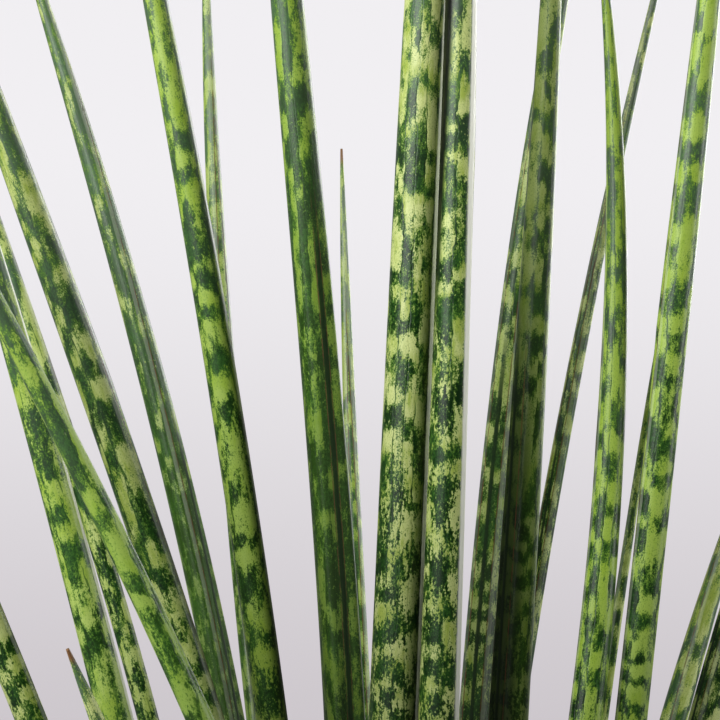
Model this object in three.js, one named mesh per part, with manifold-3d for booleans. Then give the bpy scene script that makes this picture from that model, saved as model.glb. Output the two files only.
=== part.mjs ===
// Potted snake plant with slender cylindrical leaves, in millimetres, +Z up.
// The origin is the centre of the pot's flat underside; -Y is the side that the picture shows.

import * as THREE from "three";
import { mergeVertices } from "three/addons/utils/BufferGeometryUtils.js";
import Module from "manifold-3d";

const wasm = await Module();
wasm.setup();

// Driving dimensions of the pot
const POT_HEIGHT = 140;
const POT_FOOT_RADIUS = 58;
const POT_MOUTH_RADIUS = 82;
const POT_WALL = 5;
const POT_FLOOR = 7;
const LIP_RADIUS = 3.2;
const LIP_ARC_DEGREES = [-40, 220];
const FOOT_ROUNDING = 3;
const POT_SIDES = 64;
const ARC_STEPS = 4;
const DRAIN_HOLES = 4;
const DRAIN_RADIUS = 5;
const DRAIN_SIDES = 20;
const DRAIN_RING_RADIUS = 34;

// Driving dimensions of the soil
const SOIL_TOP = 128;
const SOIL_DISH = 2.5;
const SOIL_SHOULDER = 7.5;
const CLEARANCE = 0.3;

// Driving dimensions that all leaves share
const FOOT_DEPTH = 28;
const LEAF_FOOT_Z = SOIL_TOP - FOOT_DEPTH;
const LEAF_SIDES = 12;
const LEAF_STEPS = 11;
const TIP_CROWDING = 1.35;
const CLEAR_OF_SOIL = 6;
const FOOT_NARROWING = 0.82;
const FULL_GIRTH_AT = 0.26;
const TIP_RADIUS = 0.45;
const TIP_SHARPNESS = 6;
const CHANNEL_DEPTH = 0.56;
const CHANNEL_HALF_WIDTH = THREE.MathUtils.degToRad(60);
const CHANNEL_RUN = 0.62;
const CHANNEL_FADE = 0.7;

// The leaves that the picture shows, from left to right. A leaf's centre line starts at its foot and
// ends at its tip; lowBow and highBow push the lower and the upper third off the straight line.
// girth is the radius that the leaf would have low down without its taper, taper is the share of
// it lost steadily on the way up, and channelFaces turns the groove: 0 front, 90 right, 180 back.
const SHOWN_LEAVES = [
  { foot: [-48, -30], lowBow: [10, 0], highBow: [10, 0], tip: [-150, -66, 520],
    girth: 6.3, taper: 0.4, channelFaces: 120 },
  { foot: [-56, 10], lowBow: [36, 2], highBow: [11, 2], tip: [-170, 45, 540],
    girth: 4.4, taper: 0.4, channelFaces: 100 },
  { foot: [-10, -52], lowBow: [46, 0], highBow: [19, 0], tip: [-170, -110, 520],
    girth: 4.5, taper: 0.4, channelFaces: 140 },
  { foot: [-19, -34], lowBow: [30, 0], highBow: [6, 0], tip: [-160, -30, 570],
    girth: 6.6, taper: 0.3, channelFaces: 95 },
  { foot: [-41, 38], lowBow: [29, 4], highBow: [18, 4], tip: [-138, 72, 560],
    girth: 6, taper: 0.35, channelFaces: 60 },
  { foot: [-27, -8], lowBow: [16, 0], highBow: [12, 0], tip: [-102, -26, 620],
    girth: 5.8, taper: 0.3, channelFaces: 110 },
  { foot: [-26, 46], lowBow: [-12, 0], highBow: [-12, 0], tip: [-76, 150, 570],
    girth: 4.6, taper: 0.35, channelFaces: 30 },
  { foot: [-22, 8], lowBow: [21, 0], highBow: [1, 0], tip: [-53, -15, 670],
    girth: 7, taper: 0.28, channelFaces: 27 },
  { foot: [-6, 50], lowBow: [-3, 0], highBow: [-3, 0], tip: [-25, 165, 480],
    girth: 4, taper: 0.5, channelFaces: 0 },
  { foot: [-15, -17], lowBow: [-0.8, 0], highBow: [-2.5, 0], tip: [12, -20, 700],
    girth: 8.9, taper: 0.28, channelFaces: 100 },
  { foot: [1, -21], lowBow: [-1.5, -9], highBow: [6.5, -7], tip: [13, -24, 680],
    girth: 7.8, taper: 0.52, channelFaces: 100 },
  { foot: [7, 14], lowBow: [-9.5, 5], highBow: [-20, 5], tip: [65, 60, 600],
    girth: 6, taper: 0.4, channelFaces: -20 },
  { foot: [17, -3], lowBow: [-2, 0], highBow: [4, 0], tip: [45, 8, 600],
    girth: 8, taper: 0.6, channelFaces: -62 },
  { foot: [10, 32], lowBow: [-13, 0], highBow: [-12, 0], tip: [92, 85, 560],
    girth: 3.8, taper: 0.5, channelFaces: -30 },
  { foot: [21, -22], lowBow: [13, 6], highBow: [30, 6], tip: [55, 2, 540],
    girth: 8.1, taper: 0.75, channelFaces: -110 },
  { foot: [34, 12], lowBow: [-2, 0], highBow: [-3, 0], tip: [80, 14, 430],
    girth: 2.2, taper: 0.4, channelFaces: -90 },
  { foot: [46, 4], lowBow: [-2, 0], highBow: [1, 0], tip: [98, -6, 600],
    girth: 6.2, taper: 0.3, channelFaces: -100 },
];

// Further leaves stand on two rings round the clump's middle. The outer ones are long at the sides
// and short towards the front and the back, where the long leaves of the middle stay in view. The
// inner ones are young. Heights are above the soil.
const RING_SEED = 20817;
const RINGS = [
  { radius: 57, places: 19, sideHeight: 440, frontHeight: 120, heightSpread: 46,
    leanDegrees: [17, 25], girth: [4.6, 6.2] },
  { radius: 38, places: 9, sideHeight: 105, frontHeight: 90, heightSpread: 40,
    leanDegrees: [5, 11], girth: [3.2, 4.2] },
];
const RING_SPACING = 14.5;
const RING_BOW_SHARE = 0.06;
const RING_TAPER = 0.4;

const FINISHES = {
  leaf: { color: 0x47702f, roughness: 0.42, metalness: 0 },
  soil: { color: 0x35291f, roughness: 0.95, metalness: 0 },
  pot: { color: 0xd9d4cb, roughness: 0.55, metalness: 0 },
};

// A repeatable source of numbers from 0 to 1
function seededRandom(seed) {
  let state = seed;
  return () => {
    state = (state + 0x6d2b79f5) | 0;
    let mixed = Math.imul(state ^ (state >>> 15), 1 | state);
    mixed = (mixed + Math.imul(mixed ^ (mixed >>> 7), 61 | mixed)) ^ mixed;
    return ((mixed ^ (mixed >>> 14)) >>> 0) / 4294967296;
  };
}

function namedMesh(name, geometry, finish) {
  const mesh = new THREE.Mesh(geometry, new THREE.MeshStandardMaterial(finish));
  mesh.name = name;
  return mesh;
}

// Booleans: a closed geometry as a solid, and a solid as a geometry
function solidFrom(geometry) {
  const bare = geometry.clone();
  bare.deleteAttribute("normal");
  bare.deleteAttribute("uv");
  const merged = mergeVertices(bare, 1e-4);
  return new wasm.Manifold(
    new wasm.Mesh({
      numProp: 3,
      vertProperties: merged.getAttribute("position").array,
      triVerts: new Uint32Array(merged.index.array),
    }),
  );
}

function geometryFrom(solid) {
  const mesh = solid.getMesh();
  const geometry = new THREE.BufferGeometry();
  geometry.setAttribute("position", new THREE.BufferAttribute(mesh.vertProperties, 3));
  geometry.setIndex(new THREE.BufferAttribute(mesh.triVerts, 1));
  geometry.computeVertexNormals();
  return geometry;
}

// Points of a quarter turn or half turn in a lathe profile, angles in degrees
function arcPoints(centre, radius, fromDegrees, toDegrees, steps) {
  const points = [];
  for (let step = 0; step <= steps; step += 1) {
    const angle = THREE.MathUtils.degToRad(THREE.MathUtils.lerp(fromDegrees, toDegrees, step / steps));
    points.push(new THREE.Vector2(centre.x + radius * Math.cos(angle), centre.y + radius * Math.sin(angle)));
  }
  return points;
}

// A lathe turned so that its axis is +Z
function turned(profile, sides) {
  return new THREE.LatheGeometry(profile, sides).rotateX(Math.PI / 2);
}

// The pot's wall at a height, outside and inside
const potSlope = (POT_MOUTH_RADIUS - POT_FOOT_RADIUS) / POT_HEIGHT;
const outerRadiusAt = (z) => POT_FOOT_RADIUS + potSlope * z;
const innerRadiusAt = (z) => outerRadiusAt(z) - POT_WALL;

function potGeometry() {
  const lipZ = POT_HEIGHT - LIP_RADIUS;
  const lipCentre = new THREE.Vector2(outerRadiusAt(lipZ) - POT_WALL / 2, lipZ);
  const footCentre = new THREE.Vector2(POT_FOOT_RADIUS - FOOT_ROUNDING, FOOT_ROUNDING);
  const profile = [
    new THREE.Vector2(0, 0),
    ...arcPoints(footCentre, FOOT_ROUNDING, -90, 0, ARC_STEPS),
    ...arcPoints(lipCentre, LIP_RADIUS, ...LIP_ARC_DEGREES, 2 * ARC_STEPS),
    new THREE.Vector2(innerRadiusAt(POT_FLOOR), POT_FLOOR),
    new THREE.Vector2(0, POT_FLOOR),
  ];
  let pot = solidFrom(turned(profile, POT_SIDES));
  for (let hole = 0; hole < DRAIN_HOLES; hole += 1) {
    const angle = ((hole + 0.5) / DRAIN_HOLES) * 2 * Math.PI;
    const drill = new THREE.CylinderGeometry(DRAIN_RADIUS, DRAIN_RADIUS, 3 * POT_FLOOR, DRAIN_SIDES);
    drill.rotateX(Math.PI / 2);
    drill.translate(DRAIN_RING_RADIUS * Math.cos(angle), DRAIN_RING_RADIUS * Math.sin(angle), 0);
    pot = pot.subtract(solidFrom(drill));
  }
  return geometryFrom(pot);
}

// The centre line of a leaf, whose height grows evenly along it
function centreLine({ foot, lowBow, highBow, tip }) {
  const start = new THREE.Vector3(foot[0], foot[1], LEAF_FOOT_Z);
  const end = new THREE.Vector3(...tip);
  const low = start.clone().lerp(end, 1 / 3).add(new THREE.Vector3(lowBow[0], lowBow[1], 0));
  const high = start.clone().lerp(end, 2 / 3).add(new THREE.Vector3(highBow[0], highBow[1], 0));
  return new THREE.CubicBezierCurve3(start, low, high, end);
}

// The radius of a leaf at a share of its way from foot to tip
function leafRadius({ girth, taper }, along) {
  const swelling = THREE.MathUtils.smoothstep(along, 0, FULL_GIRTH_AT);
  const base = girth * THREE.MathUtils.lerp(FOOT_NARROWING, 1, swelling);
  const left = 1 - taper * along - (1 - taper) * along ** TIP_SHARPNESS;
  return TIP_RADIUS + (base - TIP_RADIUS) * left;
}

// How much of the radius the groove takes away, which is deepest at the foot
function channelShare(along, fromChannel) {
  if (along >= CHANNEL_RUN || Math.abs(fromChannel) >= CHANNEL_HALF_WIDTH) return 0;
  const depth = CHANNEL_DEPTH * (1 - along / CHANNEL_RUN) ** CHANNEL_FADE;
  return depth * Math.cos(((Math.PI / 2) * fromChannel) / CHANNEL_HALF_WIDTH) ** 2;
}

// The places along a leaf where its section is drawn: its foot, just above the soil, and closer
// together towards the tip
function leafStations(leaf) {
  const soilExit = (FOOT_DEPTH + CLEAR_OF_SOIL) / (leaf.tip[2] - LEAF_FOOT_Z);
  const stations = [0];
  for (let step = 0; step <= LEAF_STEPS; step += 1) {
    const eased = 1 - (1 - step / LEAF_STEPS) ** TIP_CROWDING;
    stations.push(THREE.MathUtils.lerp(soilExit, 1, eased));
  }
  return stations;
}

// A straight turned body with the leaf's taper, bent along its centre line
function bentAlong(leaf, stations, { grow = 0, grooved = true } = {}) {
  const channelAngle = THREE.MathUtils.degToRad(leaf.channelFaces);
  const profile = [
    new THREE.Vector2(0, stations[0]),
    ...stations.map((along) => new THREE.Vector2(leafRadius(leaf, Math.max(along, 0)) + grow, along)),
    new THREE.Vector2(0, stations.at(-1)),
  ];
  const geometry = new THREE.LatheGeometry(profile, LEAF_SIDES, channelAngle);
  const curve = centreLine(leaf);
  const position = geometry.getAttribute("position");
  const worldX = new THREE.Vector3(1, 0, 0);
  for (let i = 0; i < position.count; i += 1) {
    const along = position.getY(i);
    const tangent = curve.getTangent(THREE.MathUtils.clamp(along, 0, 1));
    const side = worldX.clone().addScaledVector(tangent, -worldX.dot(tangent)).normalize();
    const front = side.clone().cross(tangent);
    const angle = Math.atan2(position.getX(i), position.getZ(i));
    const fromChannel = Math.atan2(Math.sin(angle - channelAngle), Math.cos(angle - channelAngle));
    const kept = grooved ? 1 - channelShare(along, fromChannel) : 1;
    const point = curve.getPoint(along);
    point.addScaledVector(side, kept * position.getX(i));
    point.addScaledVector(front, kept * position.getZ(i));
    position.setXYZ(i, point.x, point.y, point.z);
  }
  return geometry;
}

function leafGeometry(leaf) {
  return bentAlong(leaf, leafStations(leaf));
}

// The plain round hole in the soil that a leaf's foot stands in
function holeGeometry(leaf) {
  const [, soilExit, above] = leafStations(leaf);
  const below = -CLEARANCE / (leaf.tip[2] - LEAF_FOOT_Z);
  return bentAlong(leaf, [below, soilExit, above], { grow: CLEARANCE, grooved: false });
}

function soilGeometry(leaves) {
  const bottom = POT_FLOOR + CLEARANCE;
  const edge = SOIL_TOP - SOIL_DISH;
  const profile = [
    new THREE.Vector2(0, bottom),
    new THREE.Vector2(innerRadiusAt(bottom) - CLEARANCE, bottom),
    new THREE.Vector2(innerRadiusAt(edge) - CLEARANCE, edge),
    new THREE.Vector2(innerRadiusAt(edge) - CLEARANCE - SOIL_SHOULDER, SOIL_TOP),
    new THREE.Vector2(0, SOIL_TOP),
  ];
  let soil = solidFrom(turned(profile, POT_SIDES));
  for (const leaf of leaves) {
    soil = soil.subtract(solidFrom(holeGeometry(leaf)));
  }
  return geometryFrom(soil);
}

// One leaf of a ring, leaning straight out from the pot's axis
function ringLeaf(ring, angle, random) {
  const between = ([least, most]) => THREE.MathUtils.lerp(least, most, random());
  const outward = [Math.cos(angle), Math.sin(angle)];
  const sideways = outward[0] ** 4;
  const spread = ring.heightSpread * (random() - 0.5);
  const height = THREE.MathUtils.lerp(ring.frontHeight, ring.sideHeight, sideways) + spread;
  const lean = THREE.MathUtils.degToRad(between(ring.leanDegrees));
  const reach = ring.radius + height * Math.tan(lean);
  const bow = -RING_BOW_SHARE * height;
  return {
    foot: outward.map((share) => share * ring.radius),
    lowBow: outward.map((share) => share * bow),
    highBow: outward.map((share) => share * bow),
    tip: [outward[0] * reach, outward[1] * reach, SOIL_TOP + height],
    girth: between(ring.girth),
    taper: RING_TAPER,
    channelFaces: THREE.MathUtils.radToDeg(Math.atan2(-outward[0], outward[1])),
  };
}

// Fills the ring places that are clear of every foot already set
function ringLeaves(shown) {
  const random = seededRandom(RING_SEED);
  const set = [...shown];
  for (const ring of RINGS) {
    for (let place = 0; place < ring.places; place += 1) {
      const leaf = ringLeaf(ring, (place / ring.places) * 2 * Math.PI, random);
      const distanceTo = ({ foot }) => Math.hypot(foot[0] - leaf.foot[0], foot[1] - leaf.foot[1]);
      if (set.every((other) => distanceTo(other) >= RING_SPACING)) set.push(leaf);
    }
  }
  return set;
}

const leaves = ringLeaves(SHOWN_LEAVES);

const foliage = new THREE.Group();
leaves.forEach((leaf, index) => {
  const name = "leaf_" + String(index + 1).padStart(2, "0");
  foliage.add(namedMesh(name, leafGeometry(leaf), FINISHES.leaf));
});

const plant = new THREE.Group();
plant.add(namedMesh("pot", potGeometry(), FINISHES.pot));
plant.add(namedMesh("soil", soilGeometry(leaves), FINISHES.soil));
plant.add(foliage);

export default plant;
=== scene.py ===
"""Dresses the potted snake plant: its mottled cylindrical leaves, the potting soil and a plain pot.

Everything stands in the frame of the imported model, in metres: +Z is up and -Y is the side that the
picture shows. The sizes of the leaves, the pot and the soil are written in millimetres, as a grower
or a potter gives them, and turned into metres where they enter a mesh.
"""

import logging
import math
from collections.abc import Callable, Iterator
from dataclasses import dataclass, field
from enum import Enum

import bmesh
import bpy
from mathutils import Matrix, Vector


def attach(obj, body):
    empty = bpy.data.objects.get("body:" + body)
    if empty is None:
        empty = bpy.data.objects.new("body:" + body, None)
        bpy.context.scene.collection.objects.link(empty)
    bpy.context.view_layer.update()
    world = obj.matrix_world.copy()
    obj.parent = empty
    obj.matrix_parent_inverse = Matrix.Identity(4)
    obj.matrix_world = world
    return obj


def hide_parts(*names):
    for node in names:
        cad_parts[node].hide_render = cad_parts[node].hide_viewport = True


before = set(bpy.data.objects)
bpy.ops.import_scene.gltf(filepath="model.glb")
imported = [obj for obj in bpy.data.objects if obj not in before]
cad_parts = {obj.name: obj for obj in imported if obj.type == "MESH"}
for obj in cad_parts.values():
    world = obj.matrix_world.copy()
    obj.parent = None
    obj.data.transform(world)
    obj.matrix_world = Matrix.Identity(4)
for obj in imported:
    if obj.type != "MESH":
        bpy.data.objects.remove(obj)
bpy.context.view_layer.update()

LOG = logging.getLogger("snake_plant")
MM = 0.001
BODY = "root"

Number = "float | Term"
Pair = tuple[float, float]
Triple = tuple[float, float, float]
Colour = tuple[float, float, float, float]


def linear(code: str) -> Colour:
    """Turns a colour as a painter writes it into the renderer's linear light.

    Args:
        code: Six hexadecimal digits, red first.

    Returns:
        Red, green, blue and full alpha, each from 0 to 1.
    """
    channels = [int(code[place : place + 2], 16) / 255 for place in (0, 2, 4)]
    light = [c / 12.92 if c <= 0.04045 else ((c + 0.055) / 1.055) ** 2.4 for c in channels]
    return light[0], light[1], light[2], 1.0


def between(low: float, high: float, share: float) -> float:
    """Gives the value at a share of the way from low to high."""
    return low + (high - low) * share


class Kind(Enum):
    """What a value of a node tree holds, with its socket type."""

    NUMBER = "NodeSocketFloat"
    WHOLE = "NodeSocketInt"
    VECTOR = "NodeSocketVector"
    MESH = "NodeSocketGeometry"
    MATERIAL = "NodeSocketMaterial"
    GROUP = "NodeSocketCollection"


def sockets(kind: Kind, *names: str) -> dict[str, Kind]:
    """Gives several sockets of a group the same kind."""
    return dict.fromkeys(names, kind)


def arithmetic(operation: str, swapped: bool = False) -> Callable[["Term", Number], "Term"]:
    """Makes an operator that writes its sum as a math node.

    Args:
        operation: The math node's operation.
        swapped: Whether the term stands to the right of the sign.

    Returns:
        The operator, as a method of Term.
    """

    def write(term: "Term", other: Number) -> "Term":
        """Writes the math node."""
        return term.sheet.number(operation, *((other, term) if swapped else (term, other)))

    return write


class Term:
    """A value of a node tree that takes part in sums like an ordinary number."""

    def __init__(self, sheet: "Sheet", socket: bpy.types.NodeSocket) -> None:
        """Wraps one output socket of the sheet's tree."""
        self.sheet = sheet
        self.socket = socket

    __add__ = arithmetic("ADD")
    __radd__ = arithmetic("ADD", swapped=True)
    __sub__ = arithmetic("SUBTRACT")
    __rsub__ = arithmetic("SUBTRACT", swapped=True)
    __mul__ = arithmetic("MULTIPLY")
    __rmul__ = arithmetic("MULTIPLY", swapped=True)
    __truediv__ = arithmetic("DIVIDE")
    __pow__ = arithmetic("POWER")


class Sheet:
    """A node tree on which formulas are written out as ordinary arithmetic."""

    COLOUR_SHARE, FIRST_COLOUR, SECOND_COLOUR = 0, 6, 7
    MIXED_COLOUR = 2

    def __init__(self, tree: bpy.types.NodeTree) -> None:
        """Starts writing on a tree."""
        self.tree = tree

    def node(self, kind: str, inputs: dict | None = None, **settings: object) -> bpy.types.Node:
        """Adds a node and feeds it.

        Args:
            kind: The node's type name.
            inputs: What goes into its inputs, by their names or places.
            **settings: Properties of the node and their values.

        Returns:
            The new node.
        """
        node = self.tree.nodes.new(kind)
        for name, value in settings.items():
            setattr(node, name, value)
        for place, value in (inputs or {}).items():
            self.feed(node.inputs[place], value)
        return node

    def feed(self, socket: bpy.types.NodeSocket, value: object) -> None:
        """Links a term to an input socket, or sets the socket's own value.

        Args:
            socket: The input socket.
            value: A term of this sheet, or a plain value.
        """
        if isinstance(value, Term):
            self.tree.links.new(value.socket, socket)
        else:
            socket.default_value = value

    def out(self, node: bpy.types.Node, name: str | int = 0) -> Term:
        """Reads an output of a node, the first unless another is named."""
        return Term(self, node.outputs[name])

    def read(self, kind: str, name: str) -> Term:
        """Reads an output of a new node that takes nothing in."""
        return self.out(self.node(kind), name)

    def number(self, operation: str, *values: Number) -> Term:
        """Works out a number from one or two others."""
        return self.out(self.node("ShaderNodeMath", dict(enumerate(values)), operation=operation))

    def vector(self, operation: str, *values: object) -> Term:
        """Works out a vector from one or two others, or a number for a length."""
        node = self.node("ShaderNodeVectorMath", dict(enumerate(values)), operation=operation)
        return self.out(node, "Value" if operation == "LENGTH" else "Vector")

    def scaled(self, vector: Term, factor: Number) -> Term:
        """Gives a vector times a number."""
        fed = {"Vector": vector, "Scale": factor}
        return self.out(self.node("ShaderNodeVectorMath", fed, operation="SCALE"), "Vector")

    def total(self, *vectors: Term) -> Term:
        """Adds up vectors.

        Args:
            *vectors: Two or more vectors.

        Returns:
            Their sum.
        """
        result = vectors[0]
        for vector in vectors[1:]:
            result = self.vector("ADD", result, vector)
        return result

    def joined(self, *numbers: Number) -> Term:
        """Makes a vector of three numbers."""
        return self.out(self.node("ShaderNodeCombineXYZ", dict(enumerate(numbers))))

    def parts(self, vector: Term) -> tuple[Term, ...]:
        """Splits a vector into its three numbers."""
        node = self.node("ShaderNodeSeparateXYZ", {0: vector})
        return tuple(Term(self, output) for output in node.outputs)

    def ramp(
        self, value: Number, start: Number, full: Number, low: Number = 0.0, high: Number = 1.0
    ) -> Term:
        """Climbs smoothly from low to high while the value goes from start to full.

        Args:
            value: What is followed.
            start: Where the climb starts, which may lie above its end.
            full: Where the climb ends.
            low: The result up to the start.
            high: The result from the end on.

        Returns:
            The climbing number.
        """
        fed = {"Value": value, "From Min": start, "From Max": full, "To Min": low, "To Max": high}
        return self.out(self.node("ShaderNodeMapRange", fed, interpolation_type="SMOOTHSTEP"), "Result")

    def mixed(self, share: Number, first: Term | Colour, second: Term | Colour) -> Term:
        """Mixes two colours, the second by the given share."""
        fed = {self.COLOUR_SHARE: share, self.FIRST_COLOUR: first, self.SECOND_COLOUR: second}
        return self.out(self.node("ShaderNodeMix", fed, data_type="RGBA"), self.MIXED_COLOUR)

    def tinted(self, colour: Term, share: Number, code: str) -> Term:
        """Covers a share of a colour with another, given by its code."""
        return self.mixed(share, colour, linear(code))

    def noise(
        self, place: Term, scale: float = 1.0, detail: float = 1.0, roughness: float = 0.5
    ) -> Term:
        """Gives smooth noise from 0 to 1, about 0.5 on the whole.

        Args:
            place: Where it is read.
            scale: How often it changes along one unit of the place.
            detail: How many finer layers lie on it.
            roughness: How strong each finer layer is.

        Returns:
            The noise.
        """
        fed = {"Vector": place, "Scale": scale, "Detail": detail, "Roughness": roughness}
        return self.out(self.node("ShaderNodeTexNoise", fed))

    def lots(self, place: Term) -> tuple[Term, ...]:
        """Draws three even random numbers from 0 to 1 for each whole place."""
        node = self.node("ShaderNodeTexWhiteNoise", {"Vector": place}, noise_dimensions="3D")
        return self.parts(self.out(node, "Color"))

    def spots(self, place: Term, scale: float, edge: Pair, rarity: Pair) -> Term:
        """Gives round spots about scattered seeds.

        Args:
            place: Where they are read.
            scale: How many seeds there are along one unit of the place.
            edge: The distances from a seed, in shares of their spacing, where its spot ends and is full.
            rarity: The random lots from 0 to 1 at which a seed starts to show and shows in full.

        Returns:
            How much of a spot there is, from 0 to 1.
        """
        node = self.node("ShaderNodeTexVoronoi", {"Vector": place, "Scale": scale})
        lot = self.parts(self.out(node, "Color"))[0]
        return self.ramp(self.out(node, "Distance"), *edge) * self.ramp(lot, *rarity)

    def stored(self, name: str) -> tuple[Term, ...]:
        """Reads the three numbers that the mesh stores at its points under a name."""
        node = self.node("ShaderNodeAttribute", attribute_type="GEOMETRY", attribute_name=name)
        return self.parts(self.out(node, "Vector"))

    def placed(self, group: bpy.types.NodeTree, **values: object) -> dict[str, Term]:
        """Places a node group.

        Args:
            group: The node group.
            **values: What goes into its inputs, by their names.

        Returns:
            The group's outputs by name.
        """
        node = self.node("ShaderNodeGroup", values, node_tree=group)
        return {output.name: Term(self, output) for output in node.outputs}


class GroupSheet(Sheet):
    """A node group with named inputs and outputs."""

    def __init__(
        self, name: str, tree_type: str, inputs: dict[str, Kind], outputs: dict[str, Kind]
    ) -> None:
        """Makes the group with its sockets.

        Args:
            name: The group's name.
            tree_type: GeometryNodeTree or ShaderNodeTree.
            inputs: The kind of each input by name.
            outputs: The kind of each output by name.
        """
        super().__init__(bpy.data.node_groups.new(name, tree_type))
        for side, kinds in (("INPUT", inputs), ("OUTPUT", outputs)):
            for label, kind in kinds.items():
                self.tree.interface.new_socket(name=label, in_out=side, socket_type=kind.value)
        self.entry = self.node("NodeGroupInput")
        self.exit = self.node("NodeGroupOutput")

    def given(self, name: str) -> Term:
        """Reads one of the group's inputs."""
        return self.out(self.entry, name)

    def give(self, **values: Term) -> None:
        """Sets the group's outputs by their names."""
        for name, value in values.items():
            self.feed(self.exit.inputs[name], value)

    def step(self, kind: str, mesh: Term | None = None, **values: object) -> Term:
        """Passes a mesh through a node that changes it.

        Args:
            kind: The node's type name.
            mesh: The mesh that goes in, if any.
            **values: What goes into its other inputs, by their names.

        Returns:
            The node's first output.
        """
        fed = values if mesh is None else {0: mesh, **values}
        return self.out(self.node(kind, fed))

    def noted(self, mesh: Term, **values: Term) -> Term:
        """Stores vectors at the mesh's points.

        Args:
            mesh: The mesh that goes in.
            **values: The vectors by the names they are stored under.

        Returns:
            The mesh that holds them.
        """
        for name, value in values.items():
            fed = {"Geometry": mesh, "Name": name, "Value": value}
            mesh = self.out(self.node(
                "GeometryNodeStoreNamedAttribute", fed, data_type="FLOAT_VECTOR", domain="POINT"))
        return mesh


class SurfaceSheet(Sheet):
    """The node tree of a new material, with its shader."""

    def __init__(self, name: str) -> None:
        """Makes the material and finds its shader.

        Args:
            name: The material's name.
        """
        self.material = bpy.data.materials.new(name)
        self.material.use_nodes = True
        super().__init__(self.material.node_tree)
        self.shader = self.tree.nodes["Principled BSDF"]

    def finish(self, values: dict[str, object]) -> None:
        """Feeds the shader's inputs by their names."""
        for name, value in values.items():
            self.feed(self.shader.inputs[name], value)

    def emboss(self, height: Term, depth: float, strength: float = 1.0) -> None:
        """Gives the surface a relief.

        Args:
            height: How high each place lies, from 0 to 1.
            depth: How deep the relief is, in millimetres.
            strength: How much of it shows, from 0 to 1.
        """
        fed = {"Height": height, "Distance": depth * MM, "Strength": strength}
        self.finish({"Normal": self.out(self.node("ShaderNodeBump", fed))})


def linked(home: bpy.types.Collection, name: str, data: bpy.types.ID) -> bpy.types.Object:
    """Makes an object of its data in a collection.

    Args:
        home: The collection that holds the object.
        name: The object's name.
        data: Its mesh, lamp or camera.

    Returns:
        The object.
    """
    made = bpy.data.objects.new(name, data)
    home.objects.link(made)
    return made


def mesh_of(shape: bmesh.types.BMesh, name: str) -> bpy.types.Mesh:
    """Turns a finished shape into a mesh.

    Args:
        shape: The shape, which is freed.
        name: The mesh's name.

    Returns:
        The mesh.
    """
    mesh = bpy.data.meshes.new(name)
    shape.to_mesh(mesh)
    shape.free()
    return mesh


def worked_out(piece: bpy.types.Object) -> bpy.types.Mesh:
    """Makes a plain mesh of what a piece's modifiers give."""
    graph = bpy.context.evaluated_depsgraph_get()
    return bpy.data.meshes.new_from_object(piece.evaluated_get(graph), depsgraph=graph)


def grown(
    name: str, tree: bpy.types.NodeTree, values: dict[str, object], home: bpy.types.Collection
) -> bpy.types.Object:
    """Runs a geometry tree and keeps its result as a plain mesh.

    Args:
        name: The new object's name.
        tree: The tree, whose inputs the values name.
        values: What each input gets.
        home: The collection that holds the object.

    Returns:
        The object, with the tree's mesh and no modifier.
    """
    piece = linked(home, name, bpy.data.meshes.new(name + "_start"))
    modifier = piece.modifiers.new("growth", "NODES")
    modifier.node_group = tree
    for item in tree.interface.items_tree:
        if item.item_type == "SOCKET" and item.in_out == "INPUT":
            modifier[item.identifier] = values[item.name]
    mesh = worked_out(piece)
    mesh.name = name
    piece.modifiers.remove(modifier)
    piece.data = mesh
    return piece


def report(piece: bpy.types.Object) -> None:
    """Logs a finished piece with its size in triangles."""
    triangles = sum(len(face.vertices) - 2 for face in piece.data.polygons)
    LOG.info("%s: %d triangles", piece.name, triangles)


class Surfaces:
    """Shader node groups that several finishes share, each built once."""

    _built: dict[str, bpy.types.NodeTree] = {}

    @classmethod
    def grain(cls) -> bpy.types.NodeTree:
        """Builds the fine grain, a speckle of two sizes that also gives a relief.

        Returns:
            The group, with the inputs Place, Scale and Coarse and the outputs Speckle and Relief.
        """
        if "grain" not in cls._built:
            sheet = GroupSheet(
                "fine_grain", "ShaderNodeTree",
                {"Place": Kind.VECTOR, **sockets(Kind.NUMBER, "Scale", "Coarse")},
                sockets(Kind.NUMBER, "Speckle", "Relief"),
            )
            place = sheet.scaled(sheet.given("Place"), sheet.given("Scale"))
            fine = sheet.noise(place, 1.0, 3.0, 0.6)
            coarse = sheet.noise(place, 0.23, 2.0)
            sheet.give(Speckle=sheet.ramp(fine, 0.56, 0.7), Relief=fine + coarse * sheet.given("Coarse"))
            cls._built["grain"] = sheet.tree
        return cls._built["grain"]


class Weave(Enum):
    """The noises of a leaf's skin.

    Each holds how often it changes in a millimetre round the leaf and along it, how many finer layers
    it has and how strong they are.
    """

    SWAY = (0.06, 0.03, 1.0, 0.5)
    RIPPLE = (0.5, 0.2, 2.0, 0.5)
    DRIFT = (0.018, 0.018, 1.0, 0.5)
    STREAK = (1.1, 0.24, 2.0, 0.6)
    GRAIN = (2.5, 1.9, 2.0, 0.7)
    FLECKS = (1.3, 0.9, 2.0, 0.6)
    BLOTCH = (0.3, 0.14, 2.0, 0.5)
    TEARING = (0.03, 0.03, 1.0, 0.5)
    PATCHES = (0.14, 0.14, 1.0, 0.5)
    FURROWS = (0.4, 0.09, 1.0, 0.5)
    CLOUD = (0.09, 0.09, 2.0, 0.5)

    def on(self, sheet: Sheet, skin: Term) -> Term:
        """Writes this noise.

        Args:
            sheet: The sheet that it is written on.
            skin: The place on the leaf, in millimetres.

        Returns:
            The noise, which swings about 0 by up to 0.5.
        """
        around, along, detail, roughness = self.value
        place = sheet.vector("MULTIPLY", skin, (around, around, along))
        return sheet.noise(place, 1.0, detail, roughness) - 0.5


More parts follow.
